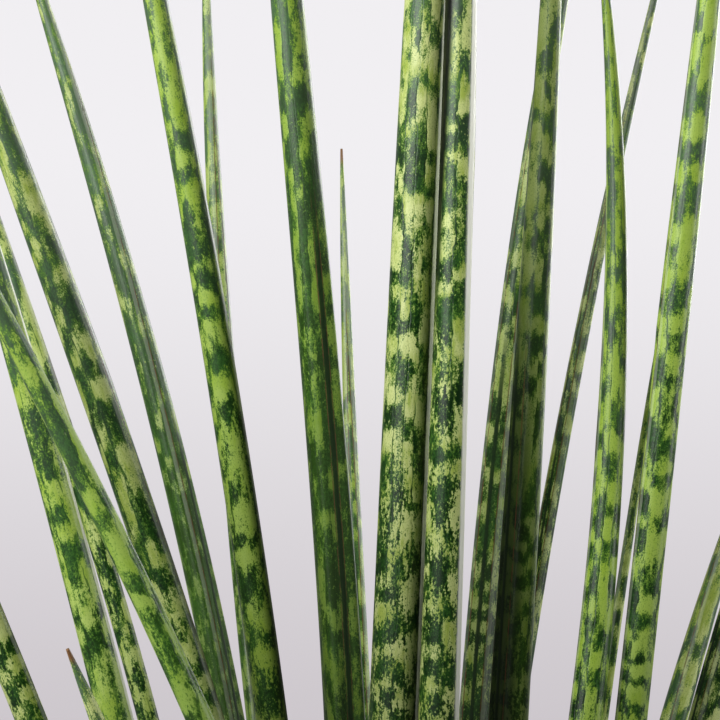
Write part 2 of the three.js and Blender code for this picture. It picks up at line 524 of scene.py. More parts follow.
class LeafReading:
    """What a leaf's mesh stores at its points, read once for its material.

    leaf_turn holds the sine and cosine of the turn round the leaf, which is 0 in the middle of the
    groove, and the height above the foot in millimetres. leaf_kind holds the number of columns, the
    seed and the share of the way from foot to tip. leaf_girth holds the radius in millimetres, the
    number of bands below and the dimness. leaf_tone, leaf_rims and leaf_shade hold what Mottling says.
    """

    def __init__(self, sheet: SurfaceSheet, groove_length: Pair) -> None:
        """Reads the stored vectors.

        Args:
            sheet: The material's sheet.
            groove_length: The shares of the length at which the groove has ended and is still full.
        """
        sine, cosine, self.run = sheet.stored("leaf_turn")
        self.columns, self.seed, self.share = sheet.stored("leaf_kind")
        self.paleness, self.lime, self.torn = sheet.stored("leaf_tone")
        self.radius, self.bands, self.dim = sheet.stored("leaf_girth")
        self.left_rim, self.right_rim, self.rim_width = sheet.stored("leaf_rims")
        self.lit, self.painted_shade, self.rise = sheet.stored("leaf_shade")
        self.turn = sheet.number("ARCTAN2", sine, cosine)
        self.aside = sheet.number("ABSOLUTE", self.turn)
        self.grooved = sheet.ramp(self.share, *groove_length)
        self.skin = sheet.total(
            sheet.joined(sine * self.radius, cosine * self.radius, self.run),
            sheet.joined(self.seed * 370.0, self.seed * 910.0, self.seed * 530.0),
        )


@dataclass(frozen=True)
class BandPattern:
    """The pale bands of a leaf's skin, which lie in columns and tear into streaks, flecks and dots.

    All parts of the pattern add up to one level, which is high where the skin is pale. A single number
    is the strength of a part, and a pair gives the values at which something starts to show and is
    full, or its least and its most. Shifts are in shares of a column's width or of the way from one
    band to the next, and heights are in millimetres above the leaf's foot.
    """

    column_sway: float = 0.9
    column_ripple: float = 0.5
    column_unevenness: float = 0.35
    column_shift: float = 0.7
    column_tone: float = 0.4
    drift: float = 2.8
    own_drift: float = 2.2
    own_drift_pace: float = 0.036
    band_ripple: float = 0.5
    wave: float = 0.52
    blotch: float = 3.0
    crown: float = 0.26
    crown_power: float = 4.0
    fleck: float = 1.3
    grain: float = 2.0
    tearing: Pair = (0.8, 2.1)
    patchiness: Pair = (-0.08, 0.1)
    pale_levels: Pair = (-0.14, 0.4)
    fringe_levels: Pair = (-0.6, 0.1)
    dotted_levels: Pair = (-1.5, -0.35)
    dot_sizes: Pair = (0.14, 0.22)
    dot_strength: float = 0.75
    furrow_noise: Pair = (-0.06, 0.12)
    furrow_brinks: Pair = (1.0, 0.85)
    furrow_softness: float = 0.05
    furrow_heights: Pair = (440.0, 320.0)
    furrow_high_up: float = 0.3
    relief_pale: float = 0.05
    relief_grain: float = 0.22
    relief_streak: float = 0.12
    relief_furrow: float = 0.5
    relief_furrow_power: float = 9.0

    def columns(self, sheet: GroupSheet, ripple: Term) -> tuple[Term, Term]:
        """Divides the skin into lengthwise columns with wavering sides.

        Args:
            sheet: The sheet of the pattern's group.
            ripple: The noise that ripples columns and bands alike.

        Returns:
            The column's number, and the distance from its middle, which is 1 at its sides.
        """
        turn, columns = sheet.given("Turn"), sheet.given("Columns")
        sway = Weave.SWAY.on(sheet, sheet.given("Skin"))
        uneven = sheet.number("SINE", turn * (2 * math.tau) + sheet.given("Seed") * 6.0)
        across = turn * columns + sway * self.column_sway + ripple * self.column_ripple
        across = across + uneven * self.column_unevenness
        column = sheet.number("FLOOR", across)
        from_middle = sheet.number("ABSOLUTE", (across - column) * 2.0 - 1.0)
        return sheet.number("FLOORED_MODULO", column, columns), from_middle

    def wave_and_tone(self, sheet: GroupSheet, column: Term, ripple: Term) -> tuple[Term, Term]:
        """Lays the bands along the leaf, shifted from column to column.

        Args:
            sheet: The sheet of the pattern's group.
            column: The column's number.
            ripple: The noise that ripples columns and bands alike.

        Returns:
            The wave of the bands from -1 to 1, and the column's own random tone from -0.5 to 0.5.
        """
        seed, run = sheet.given("Seed"), sheet.given("Run")
        shift, tone, _ = sheet.lots(sheet.joined(column, sheet.number("ROUND", seed * 977.0), 3.0))
        drift = Weave.DRIFT.on(sheet, sheet.given("Skin"))
        own_place = sheet.joined(column * 11.7, seed * 131.0, run * self.own_drift_pace)
        bands = sheet.given("Bands") + (shift - 0.5) * self.column_shift + drift * self.drift
        bands = bands + (sheet.noise(own_place) - 0.5) * self.own_drift + ripple * self.band_ripple
        return sheet.number("COSINE", bands * math.tau), tone - 0.5

    def group(self) -> bpy.types.NodeTree:
        """Builds the pattern as a shader node group.

        Returns:
            The group. Its inputs are the place on the leaf, the turn round it from 0 to 1, the height in
            millimetres, the number of columns, the seed, the paleness, the number of bands below and
            how torn they are. Its outputs are the shares of pale and of fringe, the streaks, grain and
            flecks that the colours share, and the relief.
        """
        sheet = GroupSheet(
            "leaf_mottling", "ShaderNodeTree",
            {"Skin": Kind.VECTOR,
             **sockets(Kind.NUMBER, "Turn", "Run", "Columns", "Seed", "Pale", "Bands", "Torn")},
            sockets(Kind.NUMBER, "Pale", "Fringe", "Streak", "Grain", "Flecks", "Relief"),
        )
        skin = sheet.given("Skin")
        ripple, streak = Weave.RIPPLE.on(sheet, skin), Weave.STREAK.on(sheet, skin)
        grain, flecks = Weave.GRAIN.on(sheet, skin), Weave.FLECKS.on(sheet, skin)
        blotch, tearing = Weave.BLOTCH.on(sheet, skin), Weave.TEARING.on(sheet, skin)
        column, from_middle = self.columns(sheet, ripple)
        wave, tone = self.wave_and_tone(sheet, column, ripple)
        torn = sheet.ramp(tearing, *self.patchiness, *self.tearing) * sheet.given("Torn")
        level = wave * self.wave + sheet.given("Pale") + tone * self.column_tone + blotch * self.blotch
        level = level - from_middle**self.crown_power * self.crown
        level = level + (streak + flecks * self.fleck) * torn + grain * self.grain

        patches = sheet.ramp(Weave.PATCHES.on(sheet, skin), *self.patchiness)
        near = sheet.ramp(level, *self.dotted_levels) * patches
        dots = sheet.ramp(flecks + grain * 0.5, *self.dot_sizes) * near * self.dot_strength
        pale = sheet.number("MAXIMUM", sheet.ramp(level, *self.pale_levels), dots)
        brink = sheet.ramp(Weave.FURROWS.on(sheet, skin), *self.furrow_noise, *self.furrow_brinks)
        furrow = sheet.ramp(from_middle + grain * 0.12, brink, brink + self.furrow_softness)
        furrow = furrow * sheet.ramp(sheet.given("Run"), *self.furrow_heights, self.furrow_high_up, 1.0)
        relief = pale * self.relief_pale + grain * self.relief_grain + streak * self.relief_streak
        sheet.give(
            Pale=pale * (1.0 - furrow * 0.85),
            Fringe=sheet.ramp(level, *self.fringe_levels) * (1.0 - furrow * 0.5),
            Streak=streak,
            Grain=grain,
            Flecks=flecks,
            Relief=relief - from_middle**self.relief_furrow_power * self.relief_furrow,
        )
        return sheet.tree


@dataclass(frozen=True)
class LeafSkin:
    """The satin skin of a leaf: dark green with pale, ragged cross bands in lengthwise columns.

    Most pairs are spans: where something starts to show, or has ended, and where it is full. A length
    is a share of the way from foot to tip, a turn is in radians from the middle of the groove, and a
    height is in millimetres above the foot. rim_turns holds where the rims lie low down and at the tip,
    and far_painted_shadow_widening by how much far_painted_shadow_turn moves in on the way up.
    """

    deep: str = "0A2706"
    green: str = "2A551C"
    fringe: str = "587F2B"
    pale: str = "C4CD86"
    pale_shade: str = "9AAB4C"
    lime: str = "90B038"
    # The pale margin of the groove, partly painted sheen.
    margin_and_sheen: str = "F2F3E4"
    margin_line: str = "6B4530"
    # Painted shade in the groove's floor, where little light reaches.
    groove: str = "142A0D"
    scar: str = "D8D6B8"
    # A grey-green waxy bloom high up that also stands in for the milky sheen there: partly painted sheen.
    bloom_and_sheen: str = "8CA388"
    tip: str = "7A5734"
    foot: str = "8FA065"
    roughness: float = 0.34
    specular: float = 0.32
    relief_depth: float = 0.25
    relief_strength: float = 0.55
    low_shade: float = 0.42
    high_dim: float = 0.35
    dark_dim: float = 0.45
    bloom_and_sheen_share: float = 0.26
    fringe_share: float = 0.85
    groove_shade_share: float = 0.85
    painted_shade_share: float = 0.78
    line_share: float = 0.7
    foot_share: float = 0.45
    rise_from: float = 0.45
    shaded_length: Pair = (0.2, 0.62)
    lit_length: Pair = (0.4, 0.75)
    dim_length: Pair = (0.45, 0.7)
    bloom_and_sheen_length: Pair = (0.52, 0.86)
    torn_length: Pair = (0.3, 0.62)
    groove_length: Pair = (0.64, 0.56)
    groove_shade_turn: Pair = (0.24, 0.09)
    groove_wall_turn: Pair = (0.95, 0.7)
    # Spans of the painted shade beside the groove and of the painted shadow high up on the far side.
    painted_shade_length: Pair = (0.72, 0.48)
    painted_shade_turn: Pair = (1.7, 0.95)
    far_painted_shadow_length: Pair = (0.48, 0.6)
    far_painted_shadow_turn: Pair = (2.55, 3.0)
    far_painted_shadow_widening: Pair = (0.75, 0.7)
    widening_length: Pair = (0.5, 0.8)
    rim_closing_length: Pair = (0.55, 1.0)
    rim_turns: Pair = (0.82, 0.2)
    rim_end_length: Pair = (0.99, 0.9)
    line_end_length: Pair = (0.95, 0.8)
    dry_tip_length: Pair = (0.978, 0.992)
    pale_foot_height: Pair = (62.0, 30.0)
    scar_scale: float = 0.045
    scar_edge: Pair = (0.035, 0.02)
    scar_rarity: Pair = (0.7, 0.72)
    pattern: BandPattern = BandPattern()

    def tones(
        self, sheet: SurfaceSheet, leaf: LeafReading, marks: dict[str, Term]
    ) -> tuple[Term, Term]:
        """Mixes the two greens of the skin.

        Args:
            sheet: The material's sheet.
            leaf: What the mesh stores.
            marks: The outputs of the mottling.

        Returns:
            The dark colour and the pale one.
        """
        cloud = Weave.CLOUD.on(sheet, leaf.skin)
        flecked = cloud * 0.8 + (marks["Grain"] + marks["Flecks"]) * 0.9
        dim = leaf.dim * sheet.ramp(leaf.share, *self.dim_length, 1.0, self.high_dim)
        dark = sheet.mixed(sheet.ramp(flecked, -0.2, 0.28), linear(self.deep), linear(self.green))
        dark = sheet.tinted(dark, dim * self.dark_dim, self.fringe)
        # Partly waxy bloom and partly painted sheen: the dark green turns milky high up.
        bloom_and_sheen_mask = sheet.ramp(leaf.share, *self.bloom_and_sheen_length) * self.bloom_and_sheen_share
        dark = sheet.tinted(dark, bloom_and_sheen_mask, self.bloom_and_sheen)
        shaded = sheet.ramp(cloud + marks["Streak"] * 0.6, -0.1, 0.22)
        light = sheet.mixed(shaded, linear(self.pale), linear(self.pale_shade))
        light = sheet.tinted(light, leaf.lime, self.lime)
        light = sheet.tinted(light, sheet.ramp(marks["Grain"], 0.0, -0.2) * 0.55, self.fringe)
        return dark, sheet.tinted(light, dim, self.fringe)

    def painted_shade(self, sheet: SurfaceSheet, leaf: LeafReading) -> Term:
        """Writes the painted shade: the light that the plant's dense middle takes from the skin.

        Args:
            sheet: The material's sheet.
            leaf: What the mesh stores.

        Returns:
            The share that is taken: painted shade beside the groove or, where the leaf's gloom is below 0,
            a painted shadow high up on the side away from it, which widens on the way up.
        """
        beside = sheet.ramp(leaf.aside, *self.painted_shade_turn) * sheet.ramp(leaf.share, *self.painted_shade_length)
        high = sheet.ramp(leaf.share, *self.widening_length)
        turns = [turn - high * more for turn, more in zip(self.far_painted_shadow_turn, self.far_painted_shadow_widening)]
        far = sheet.ramp(leaf.aside, *turns) * sheet.ramp(leaf.share, *self.far_painted_shadow_length, 0.0, -1.0)
        return sheet.number("MAXIMUM", beside * leaf.painted_shade, far * leaf.painted_shade)

    def margins(
        self, sheet: SurfaceSheet, leaf: LeafReading, marks: dict[str, Term]
    ) -> tuple[Term, Term]:
        """Draws the cream rims along the groove, which close over it towards the tip, partly painted sheen.

        Args:
            sheet: The material's sheet.
            leaf: What the mesh stores.
            marks: The outputs of the mottling.

        Returns:
            The share of the rim and that of the thin brown line inside it.
        """
        rim_turn = sheet.ramp(leaf.share, *self.rim_closing_length, *self.rim_turns)
        inside = (rim_turn - leaf.aside) * leaf.radius
        ragged = sheet.number("ABSOLUTE", inside) + marks["Streak"] * 0.5 + marks["Flecks"] * 0.35
        strength = sheet.ramp(leaf.turn, -0.05, 0.05, leaf.left_rim, leaf.right_rim)
        rim = sheet.ramp(ragged, leaf.rim_width, leaf.rim_width * 0.55) * strength
        rim = rim * sheet.ramp(leaf.share, *self.rim_end_length)
        line = sheet.ramp(sheet.number("ABSOLUTE", inside - leaf.rim_width * 0.95), 0.26, 0.12)
        line = line * sheet.ramp(marks["Streak"], -0.16, 0.05)
        return rim, line * sheet.number("MAXIMUM", sheet.ramp(strength, 0.0, 0.1), leaf.grooved)

    def material(self) -> bpy.types.Material:
        """Makes the leaf's material, which reads what the leaf's mesh stores at its points.

        Returns:
            The material.
        """
        sheet = SurfaceSheet("leaf_skin")
        leaf = LeafReading(sheet, self.groove_length)
        marks = sheet.placed(
            self.pattern.group(), Skin=leaf.skin, Turn=leaf.turn / math.tau + 0.5, Run=leaf.run,
            Columns=leaf.columns, Seed=leaf.seed, Bands=leaf.bands,
            Pale=leaf.paleness + leaf.rise * (leaf.share - self.rise_from),
            Torn=leaf.torn * sheet.ramp(leaf.share, *self.torn_length, 1.5, 0.6),
        )
        dark, light = self.tones(sheet, leaf, marks)
        # Painted shade: the groove's floor is darkened and loses its pale bands and fringe.
        floor = sheet.ramp(leaf.aside, *self.groove_shade_turn) * leaf.grooved
        painted_shade = self.painted_shade(sheet, leaf)
        fringed = marks["Fringe"] * (1.0 - floor * 0.7) * self.fringe_share
        colour = sheet.tinted(dark, fringed, self.fringe)
        # Painted shade and shadow thin out the pale bands and darken the skin.
        pale = marks["Pale"] * (1.0 - floor * self.groove_shade_share) * (1.0 - painted_shade * 0.7)
        colour = sheet.scaled(sheet.mixed(pale, colour, light), 1.0 - painted_shade * self.painted_shade_share)
        colour = sheet.tinted(colour, floor * self.groove_shade_share, self.groove)

        rim, line = self.margins(sheet, leaf, marks)
        # The cream margin, partly painted sheen along the rim.
        colour = sheet.tinted(colour, rim, self.margin_and_sheen)
        lined = line * sheet.ramp(leaf.share, *self.line_end_length) * self.line_share
        colour = sheet.tinted(colour, lined, self.margin_line)
        drawn_out = sheet.vector("MULTIPLY", leaf.skin, (1.0, 1.0, 0.6))
        scars = sheet.spots(drawn_out, self.scar_scale, self.scar_edge, self.scar_rarity)
        colour = sheet.tinted(colour, scars, self.scar)
        paled = sheet.ramp(leaf.run, *self.pale_foot_height) * self.foot_share
        colour = sheet.tinted(colour, paled, self.foot)
        dry = sheet.ramp(leaf.share + marks["Streak"] * 0.01, *self.dry_tip_length)
        colour = sheet.tinted(colour, dry, self.tip)

        lit = leaf.lit + (1.0 - leaf.lit) * sheet.ramp(leaf.share, *self.lit_length)
        lit = lit * sheet.ramp(leaf.share, *self.shaded_length, self.low_shade, 1.0)
        rough = self.roughness + marks["Streak"] * 0.16 + marks["Pale"] * 0.05 + marks["Grain"] * 0.1
        rough = rough + sheet.ramp(leaf.aside, *self.groove_wall_turn) * leaf.grooved * 0.5
        sheet.finish({
            "Base Color": sheet.scaled(colour, lit), "Roughness": rough, "Specular IOR Level": self.specular})
        smoother = sheet.ramp(leaf.share, 0.75, 0.5, 0.5, 1.0)
        height = marks["Relief"] * smoother + (rim - line) * 0.3
        sheet.emboss(height, self.relief_depth, self.relief_strength)
        return sheet.material


@dataclass(frozen=True)
class Mottling:
    """How one leaf is marked.

    Attributes:
        pale: How much more of it is pale than usual.
        lime: How lime its pale bands are, from 0 to 1.
        band: The height of a pale and a dark band together half way up, in millimetres.
        torn: How ragged the bands are.
        dim: How far its tones close up, from 0 to 1, mostly low down.
        lit: How much light its lower part gets, from 0 to 1.
        painted_shade: How strong the painted shade beside its groove is or, below 0, how strong a painted
            shadow is high up on the side away from it.
        rise: How much paler it gets towards its tip.
        rims: The strength of the left and the right rim, which are partly painted sheen, and their width
            in millimetres.
    """

    pale: float = 0.0
    lime: float = 0.1
    band: float = 17.0
    torn: float = 1.0
    dim: float = 0.0
    lit: float = 1.0
    painted_shade: float = 0.0
    rise: float = 0.0
    rims: Triple = (0.15, 0.15, 0.8)


@dataclass(frozen=True)
class LeafPlan:
    """The course, thickness and marking of one leaf, in millimetres and degrees.

    The leaf's centre line starts at its foot and ends at its tip, and the two bows push its lower and
    its upper third off the straight line. The channel faces 0 for the front, 90 for the right.
    """

    foot: Pair
    low_bow: Pair
    high_bow: Pair
    tip: Triple
    girth: float
    taper: float
    channel_faces: float
    marks: Mottling = Mottling()

    def guide_points(self, foot_height: float) -> list[Vector]:
        """Works out the four guide points of the centre line.

        Args:
            foot_height: The height of the leaf's foot, in millimetres.

        Returns:
            Foot, low, high and tip, in metres.
        """
        start = Vector((*self.foot, foot_height))
        end = Vector(self.tip)
        low = start.lerp(end, 1 / 3) + Vector((*self.low_bow, 0))
        high = start.lerp(end, 2 / 3) + Vector((*self.high_bow, 0))
        return [point * MM for point in (start, low, high, end)]


SHOWN_LEAVES = [
    LeafPlan((-48, -30), (10, 0), (10, 0), (-150, -66, 520), 6.3, 0.4, 120,
             Mottling(0.0, 0.6, 17, dim=0.15, rims=(0.8, 0.3, 1.2))),
    LeafPlan((-56, 10), (36, 2), (11, 2), (-170, 45, 540), 4.4, 0.4, 100,
             Mottling(0.0, 0.3, 15)),
    LeafPlan((-10, -52), (46, 0), (19, 0), (-170, -110, 520), 4.5, 0.4, 140,
             Mottling(0.02, 0.75, 20, dim=0.4)),
    LeafPlan((-19, -34), (30, 0), (6, 0), (-160, -30, 570), 6.6, 0.3, 95,
             Mottling(-0.12, 0.15, 18, painted_shade=0.4, rims=(0.1, 0.2, 1))),
    LeafPlan((-41, 38), (29, 4), (18, 4), (-138, 72, 560), 6, 0.35, 60,
             Mottling(-0.32, 0.1, 15, dim=0.7)),
    LeafPlan((-27, -8), (16, 0), (12, 0), (-102, -26, 620), 5.8, 0.3, 110,
             Mottling(0.02, 0.75, 18, dim=0.1, painted_shade=0.6, rise=-0.1, rims=(0.1, 0.2, 1))),
    LeafPlan((-26, 46), (-12, 0), (-12, 0), (-76, 150, 570), 4.6, 0.35, 30,
             Mottling(-0.08, 0.4, 15, dim=0.5)),
    LeafPlan((-22, 8), (21, 0), (1, 0), (-53, -15, 670), 7, 0.28, 27,
             Mottling(-0.25, 0.8, 30, dim=0.5, rims=(0, 0, 3.9))),
    LeafPlan((-6, 50), (-3, 0), (-3, 0), (-25, 165, 480), 4, 0.5, 0,
             Mottling(0.0, 0.4, 15, dim=0.4)),
    LeafPlan((-15, -17), (-0.8, 0), (-2.5, 0), (12, -20, 700), 8.9, 0.28, 100,
             Mottling(0.0, 0.05, 20, painted_shade=0.85, rise=0.8, rims=(0.9, 0.5, 1.5))),
    LeafPlan((1, -21), (-1.5, -9), (6.5, -7), (13, -24, 680), 7.8, 0.52, 100,
             Mottling(-0.02, 0.12, 19, torn=1.3, painted_shade=-1.25, rise=0.5, rims=(1, 0.5, 2))),
    LeafPlan((7, 14), (-9.5, 5), (-20, 5), (65, 60, 600), 6, 0.4, -20,
             Mottling(-0.08, 0.2, 14, dim=0.2, rims=(0.1, 0.2, 0.9))),
    LeafPlan((17, -3), (-2, 0), (4, 0), (45, 8, 600), 8, 0.6, -62,
             Mottling(0.0, 0.3, 13, torn=1.2, dim=0.45, lit=0.95, painted_shade=0.85, rise=0.65, rims=(0.3, 0, 0.6))),
    LeafPlan((10, 32), (-13, 0), (-12, 0), (92, 85, 560), 3.8, 0.5, -30),
    LeafPlan((21, -22), (13, 6), (30, 6), (55, 2, 540), 8.1, 0.75, -110,
             Mottling(0.12, 0.85, 16, torn=0.7, rise=0.6)),
    LeafPlan((34, 12), (-2, 0), (-3, 0), (80, 14, 430), 2.2, 0.4, -90),
    LeafPlan((46, 4), (-2, 0), (1, 0), (98, -6, 600), 6.2, 0.3, -100,
             Mottling(0.0, 0.8, 14, torn=0.8)),
]


class Draws:
    """A repeatable source of even numbers from 0 to 1."""

    WORD = 0xFFFFFFFF
    STRIDE = 0x6D2B79F5

    def __init__(self, seed: int) -> None:
        """Starts at a seed."""
        self.state = seed

    def next(self) -> float:
        """Draws the next number by stirring the bits of a steadily growing state.

        Returns:
            The number.
        """
        self.state = (self.state + self.STRIDE) & self.WORD
        mixed = ((self.state ^ (self.state >> 15)) * (1 | self.state)) & self.WORD
        mixed = ((mixed + ((mixed ^ (mixed >> 7)) * (61 | mixed))) & self.WORD) ^ mixed
        return (mixed ^ (mixed >> 14)) / (self.WORD + 1)

    def within(self, span: Pair) -> float:
        """Draws a number from a span."""
        return between(*span, self.next())


@dataclass(frozen=True)
class LeafRing:
    """A ring of leaves round the clump, in millimetres and degrees, with heights above the soil."""

    radius: float
    places: int
    side_height: float
    front_height: float
    height_spread: float
    lean: Pair
    girth: Pair
    bow_share: float = 0.06
    taper: float = 0.4

    def leaf(self, angle: float, draws: Draws, soil_top: float) -> LeafPlan:
        """Plans the leaf at one place of the ring, leaning straight out from the pot's axis.

        Args:
            angle: Where the leaf stands on the ring, in radians.
            draws: The source of its random sizes.
            soil_top: The height of the soil, in millimetres.

        Returns:
            The leaf's plan.
        """
        x, y = math.cos(angle), math.sin(angle)
        spread = self.height_spread * (draws.next() - 0.5)
        height = between(self.front_height, self.side_height, x**4) + spread
        reach = self.radius + height * math.tan(math.radians(draws.within(self.lean)))
        bow = (-self.bow_share * height * x, -self.bow_share * height * y)
        return LeafPlan(
            foot=(x * self.radius, y * self.radius),
            low_bow=bow,
            high_bow=bow,
            tip=(x * reach, y * reach, soil_top + height),
            girth=draws.within(self.girth),
            taper=self.taper,
            channel_faces=math.degrees(math.atan2(-x, y)),
        )


@dataclass
class Foliage:
    """All leaves of the plant, each grown by one geometry tree along its own centre line.

    Lengths are in millimetres, the groove's brink and floor in degrees from its middle, and the places
    along a leaf in shares of its way from foot to tip.
    """

    GOLDEN_SHARE = 0.6180339887

    soil_top: float = 128.0
    foot_height: float = 100.0
    ring_seed: int = 20817
    ring_spacing: float = 14.5
    rings: tuple[LeafRing, ...] = (
        LeafRing(57, 19, 440, 120, 46, (17, 25), (4.6, 6.2)),
        LeafRing(38, 9, 105, 90, 40, (5, 11), (3.2, 4.2)),
    )
    foot_narrowing: float = 0.82
    full_girth_at: float = 0.26
    tip_radius: float = 0.45
    tip_sharpness: float = 6.0
    tip_crowding: float = 1.6
    channel_depth: float = 0.56
    channel_brink: float = 46.0
    channel_floor: float = 12.0
    channel_run: float = 0.62
    channel_fade: float = 0.7
    column_width: float = 5.0
    fewest_columns: int = 5
    band_growth: float = 2.0
    sides: int = 54
    row_height: float = 4.2
    fewest_rows: int = 24
    skin: LeafSkin = field(default_factory=LeafSkin)

    def plans(self) -> list[LeafPlan]:
        """Lists the leaves that the picture shows, then fills the ring places that are clear of them.

        Returns:
            The plans in the order of the leaves' numbers.
        """
        draws = Draws(self.ring_seed)
        plans = list(SHOWN_LEAVES)
        for ring in self.rings:
            for place in range(ring.places):
                leaf = ring.leaf(place / ring.places * math.tau, draws, self.soil_top)
                if all(math.dist(leaf.foot, other.foot) >= self.ring_spacing for other in plans):
                    plans.append(leaf)
        return plans

    def tree(self, material: bpy.types.Material) -> bpy.types.NodeTree:
        """Builds the geometry tree that turns a straight cylinder into a leaf.

        Args:
            material: The leaf's skin.

        Returns:
            The tree, with the leaf's guide points, sizes and marking as named inputs.
        """
        vectors = sockets(Kind.VECTOR, "Foot", "Low", "High", "Tip", "Tone", "Rims", "Shade")
        numbers = sockets(
            Kind.NUMBER, "Girth", "Taper", "Channel Faces", "Columns", "Seed", "Band", "Dim")
        inputs = {**vectors, **numbers, **sockets(Kind.WHOLE, "Sides", "Rows")}
        sheet = GroupSheet("leaf_growth", "GeometryNodeTree", inputs, {"Leaf": Kind.MESH})
        x, y, z = sheet.parts(sheet.step("GeometryNodeInputPosition"))
        share = 1.0 - (0.5 - z) ** self.tip_crowding
        turn = sheet.number("ARCTAN2", x * -1.0, y)
        radius = self.radius_at(sheet, share)
        height = sheet.parts(sheet.vector("SUBTRACT", sheet.given("Tip"), sheet.given("Foot")))[2] / MM
        bands = height / sheet.given("Band") * self.bands_below(sheet, share)

        size = {"Vertices": sheet.given("Sides"), "Side Segments": sheet.given("Rows"),
                "Radius": 1.0, "Depth": 1.0}
        tube = sheet.node("GeometryNodeMeshCylinder", size, fill_type="TRIANGLE_FAN")
        mesh = sheet.noted(
            sheet.out(tube, "Mesh"),
            leaf_turn=sheet.joined(sheet.number("SINE", turn), sheet.number("COSINE", turn), share * height),
            leaf_kind=sheet.joined(sheet.given("Columns"), sheet.given("Seed"), share),
            leaf_tone=sheet.given("Tone"),
            leaf_girth=sheet.joined(radius / MM, bands, sheet.given("Dim")),
            leaf_rims=sheet.given("Rims"),
            leaf_shade=sheet.given("Shade"),
        )
        point, side, front = self.frame_at(sheet, share)
        out = (x * x + y * y) ** 0.5
        reach = radius * (1.0 - self.channel_share(sheet, share, turn)) * out
        faces = sheet.given("Channel Faces") + turn
        place = sheet.total(
            point,
            sheet.scaled(side, reach * sheet.number("SINE", faces)),
            sheet.scaled(front, reach * sheet.number("COSINE", faces)),
        )
        mesh = sheet.step("GeometryNodeSetPosition", mesh, Position=place)
        mesh = sheet.step("GeometryNodeSetShadeSmooth", mesh)
        mesh = sheet.step("GeometryNodeRealizeInstances", mesh)
        sheet.give(Leaf=sheet.step("GeometryNodeSetMaterial", mesh, Material=material))
        return sheet.tree

    def radius_at(self, sheet: GroupSheet, share: Term) -> Term:
        """Writes the leaf's radius, without its groove.

        Args:
            sheet: The sheet of the leaf's tree.
            share: The share of the way from foot to tip.

        Returns:
            The radius, in metres.
        """
        taper = sheet.given("Taper")
        swelling = sheet.ramp(share, 0.0, self.full_girth_at, self.foot_narrowing, 1.0)
        left = 1.0 - taper * share - (1.0 - taper) * share**self.tip_sharpness
        return self.tip_radius * MM + (sheet.given("Girth") * swelling - self.tip_radius * MM) * left

    def bands_below(self, sheet: GroupSheet, share: Term) -> Term:
        """Writes how many bands lie below a place when they lengthen on the way up.

        Args:
            sheet: The sheet of the leaf's tree.
            share: The share of the way from foot to tip.

        Returns:
            Their number, in shares of the number that a leaf with even bands would have.
        """
        left = sheet.number("EXPONENT", share * -self.band_growth)
        return (1.0 - left) * (math.exp(self.band_growth / 2) / self.band_growth)

    def channel_share(self, sheet: GroupSheet, share: Term, turn: Term) -> Term:
        """Writes how deep the groove is, which is deepest at the foot.

        Args:
            sheet: The sheet of the leaf's tree.
            share: The share of the way from foot to tip.
            turn: The turn from the middle of the groove, in radians.

        Returns:
            The share of the radius that the groove takes away.
        """
        run = sheet.number("MAXIMUM", 1.0 - share / self.channel_run, 0.0) ** self.channel_fade
        aside = sheet.number("ABSOLUTE", turn)
        across = sheet.ramp(aside, math.radians(self.channel_brink), math.radians(self.channel_floor))
        return self.channel_depth * run * across

    @staticmethod
    def frame_at(sheet: GroupSheet, share: Term) -> tuple[Term, Term, Term]:
        """Writes the course of the centre line, a cubic curve through its guide points.

        Args:
            sheet: The sheet of the leaf's tree.
            share: The share of the way from foot to tip.

        Returns:
            The point on the line, and the directions from it to the leaf's side and front.
        """
        foot, low, high, tip = (sheet.given(name) for name in ("Foot", "Low", "High", "Tip"))
        rest = 1.0 - share
        point = sheet.total(
            sheet.scaled(foot, rest * rest * rest),
            sheet.scaled(low, 3.0 * rest * rest * share),
            sheet.scaled(high, 3.0 * rest * share * share),
            sheet.scaled(tip, share * share * share),
        )
        tangent = sheet.vector("NORMALIZE", sheet.total(
            sheet.scaled(sheet.vector("SUBTRACT", low, foot), rest * rest),
            sheet.scaled(sheet.vector("SUBTRACT", high, low), 2.0 * rest * share),
            sheet.scaled(sheet.vector("SUBTRACT", tip, high), share * share),
        ))
        lean = sheet.scaled(tangent, sheet.parts(tangent)[0])
        side = sheet.vector("NORMALIZE", sheet.vector("SUBTRACT", (1.0, 0.0, 0.0), lean))
        return point, side, sheet.vector("CROSS_PRODUCT", side, tangent)

    def values(self, index: int, plan: LeafPlan) -> dict[str, object]:
        """Lists what the geometry tree needs to grow one leaf.

        Args:
            index: The leaf's place in the list.
            plan: Its plan.

        Returns:
            The tree's inputs by name.
        """
        foot, low, high, tip = plan.guide_points(self.foot_height)
        length = (tip.z - foot.z) / MM
        marks = plan.marks
        return {
            "Foot": foot, "Low": low, "High": high, "Tip": tip,
            "Girth": plan.girth * MM, "Taper": plan.taper,
            "Channel Faces": math.radians(plan.channel_faces),
            "Sides": self.sides, "Rows": max(self.fewest_rows, round(length / self.row_height)),
            "Columns": float(max(self.fewest_columns, round(math.tau * plan.girth / self.column_width))),
            "Seed": index * self.GOLDEN_SHARE % 1, "Tone": (marks.pale, marks.lime, marks.torn),
            "Rims": marks.rims, "Band": marks.band, "Dim": marks.dim,
            "Shade": (marks.lit, marks.painted_shade, marks.rise),
        }

    def build(self, home: bpy.types.Collection) -> Iterator[bpy.types.Object]:
        """Grows every leaf in place of its node.

        Args:
            home: The collection that holds the leaves.

        Yields:
            Each finished leaf.
        """
        tree = self.tree(self.skin.material())
        for index, plan in enumerate(self.plans()):
            node = f"leaf_{index + 1:02d}"
            leaf = grown(node + "_skin", tree, self.values(index, plan), home)
            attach(leaf, BODY)
            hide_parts(node)
            yield leaf


